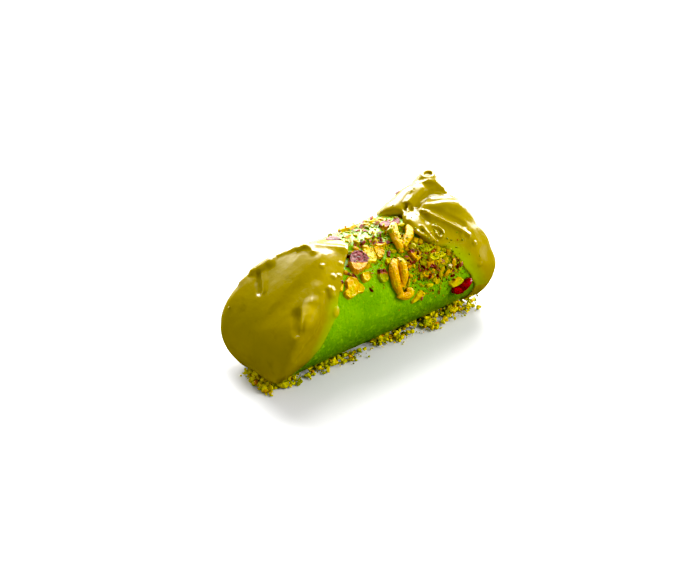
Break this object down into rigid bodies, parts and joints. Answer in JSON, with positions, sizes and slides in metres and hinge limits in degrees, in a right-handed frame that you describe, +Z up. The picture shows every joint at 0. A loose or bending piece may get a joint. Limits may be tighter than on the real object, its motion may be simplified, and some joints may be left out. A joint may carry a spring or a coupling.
{
  "type": "pistachio cannoli",
  "caption": "Pistachio cannoli: a soft green sheet rolled round a thick pistachio cream that bulges and spills from both slanted ends, topped with broken pistachios and a red berry.",
  "frame": {"origin": "on the ground, at the middle of the flat strip that the roll rests on", "axes": "+X along the roll, towards the end with the pulled peak of cream; -Y is the front, where the pistachios lie; +Z up"},
  "size_m": [0.1153, 0.0521, 0.0565],
  "materials": {
    "sheet": "soft matt lime-green rolled pastry sheet with fine pores",
    "cream": "smooth, softly glossy olive-gold pistachio cream",
    "kernel": "golden to yellow-green roasted pistachio flesh, slightly oily",
    "skin": "wrinkled red-brown pistachio skin over golden flesh",
    "berry": "wet, glossy dark red dried berry"
  },
  "bodies": {
    "root": {"shell": "sheet", "cream": "cream", "nut_whole": "kernel", "nut_fork": "kernel", "nut_green": "kernel", "nut_long": "kernel", "nut_low": "kernel", "nut_top_strip": "kernel", "nut_top_far": "kernel", "nut_broken": "kernel", "nut_cube": "kernel", "nut_plate_a": "kernel", "nut_plate_b": "kernel", "nut_top_strap": "kernel", "nut_orange": "kernel", "nut_leaf": "kernel", "nut_skinned": "skin", "nut_top_near": "skin", "nut_brown": "skin", "nut_top_edge": "skin", "nut_triangle": "skin", "berry": "berry"}
  },
  "joints": []
}
